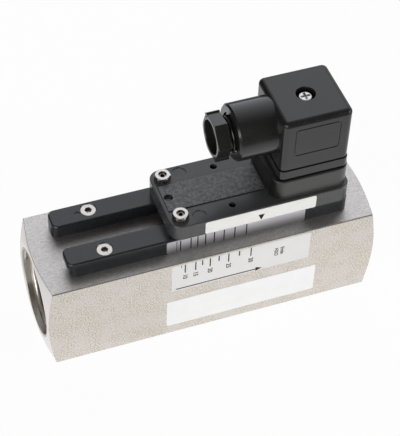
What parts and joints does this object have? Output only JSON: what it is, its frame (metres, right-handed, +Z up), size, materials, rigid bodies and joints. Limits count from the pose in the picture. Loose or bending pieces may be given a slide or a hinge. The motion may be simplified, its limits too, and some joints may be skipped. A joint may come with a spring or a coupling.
{
  "type": "variable area flow switch",
  "caption": "Inline flow switch: square steel body with a spring-loaded float in a slotted nozzle, and a reed switch housing that slides on rails and carries a plug connector.",
  "frame": {"origin": "middle of the square body's underside", "axes": "+X along the flow from inlet to outlet, +Z up towards the connector"},
  "size_m": [0.131, 0.0401, 0.0922],
  "materials": {
    "steel_bar": "ground",
    "nozzle_brass": "turned",
    "spring_steel": "drawn",
    "stainless": "turned",
    "dark_steel": "blackened",
    "magnet": "sintered",
    "rail_black": "satin",
    "scale_silver": "satin",
    "label_grey": "printed",
    "label_white": "printed",
    "housing_black": "moulded",
    "cover_black": "moulded",
    "terminal_grey": "moulded",
    "seal_rubber": "matt",
    "contact_brass": "plated",
    "wire_white": "smooth",
    "reed_glass": "clear"
  },
  "bodies": {
    "flow_body": {"flow_body": "steel_bar", "slotted_nozzle": "nozzle_brass", "nozzle_ring": "spring_steel", "spring_seat": "stainless", "seat_ring": "spring_steel", "return_spring": "spring_steel", "front_rail": "rail_black", "rear_rail": "rail_black", "rail_screws": "stainless", "rail_scale_strip": "scale_silver", "flow_scale_label": "label_grey", "type_label": "label_white"},
    "float": {"float_body": "stainless", "float_magnet": "magnet", "float_cap": "stainless"},
    "switch_housing": {"switch_housing": "housing_black", "housing_base": "housing_black", "reed_glass": "reed_glass", "reed_blades": "contact_brass", "lead_wires": "wire_white", "clamp_bushes": "contact_brass", "housing_label": "label_white", "connector_base": "housing_black", "contact_pins": "contact_brass", "base_nut": "contact_brass", "base_screws": "stainless"},
    "front_clamp_screw": {"front_clamp_screw": "dark_steel"},
    "rear_clamp_screw": {"rear_clamp_screw": "dark_steel"},
    "front_lock_nut": {"front_lock_nut": "stainless"},
    "rear_lock_nut": {"rear_lock_nut": "stainless"},
    "plug": {"connector_gasket": "seal_rubber", "connector_cover": "cover_black", "terminal_block": "terminal_grey", "terminal_contacts": "contact_brass", "terminal_screws": "stainless", "gland_washer": "stainless", "gland_seal": "seal_rubber"},
    "gland_nut": {"gland_nut": "cover_black"},
    "center_screw": {"center_screw": "stainless"}
  },
  "joints": [
    {"name": "float_slide", "type": "slide", "parent": "flow_body", "child": "float", "axis": [1, 0, 0], "range_m": [0, 0.03], "stiffness_N_per_m": 150, "springref_m": -0.008, "deforming": ["return_spring"]},
    {"name": "housing_slide", "type": "slide", "parent": "flow_body", "child": "switch_housing", "axis": [1, 0, 0], "range_m": [-0.038, 0]},
    {"name": "front_clamp_screw_turn", "type": "hinge", "parent": "switch_housing", "child": "front_clamp_screw", "pos_m": [-0.0112, -0.0103, 0.0552], "axis": [0, 0, 1], "range_deg": [0, 360]},
    {"name": "rear_clamp_screw_turn", "type": "hinge", "parent": "switch_housing", "child": "rear_clamp_screw", "pos_m": [-0.0112, 0.0103, 0.0552], "axis": [0, 0, 1], "range_deg": [0, 360]},
    {"name": "front_lock_nut_turn", "type": "hinge", "parent": "switch_housing", "child": "front_lock_nut", "pos_m": [-0.0112, -0.0103, 0.0552], "axis": [0, 0, 1], "range_deg": [0, 360]},
    {"name": "rear_lock_nut_turn", "type": "hinge", "parent": "switch_housing", "child": "rear_lock_nut", "pos_m": [-0.0112, 0.0103, 0.0552], "axis": [0, 0, 1], "range_deg": [0, 360]},
    {"name": "plug_lift", "type": "slide", "parent": "switch_housing", "child": "plug", "axis": [0, 0, 1], "range_m": [0, 0.016]},
    {"name": "center_screw_turn", "type": "hinge", "parent": "plug", "child": "center_screw", "pos_m": [0.0393, 0, 0.0885], "axis": [0, 0, 1], "range_deg": [0, 360]},
    {"name": "gland_nut_turn", "type": "hinge", "parent": "plug", "child": "gland_nut", "pos_m": [0.011, 0, 0.08103], "axis": [-1, 0, 0], "range_deg": [0, 360]}
  ]
}
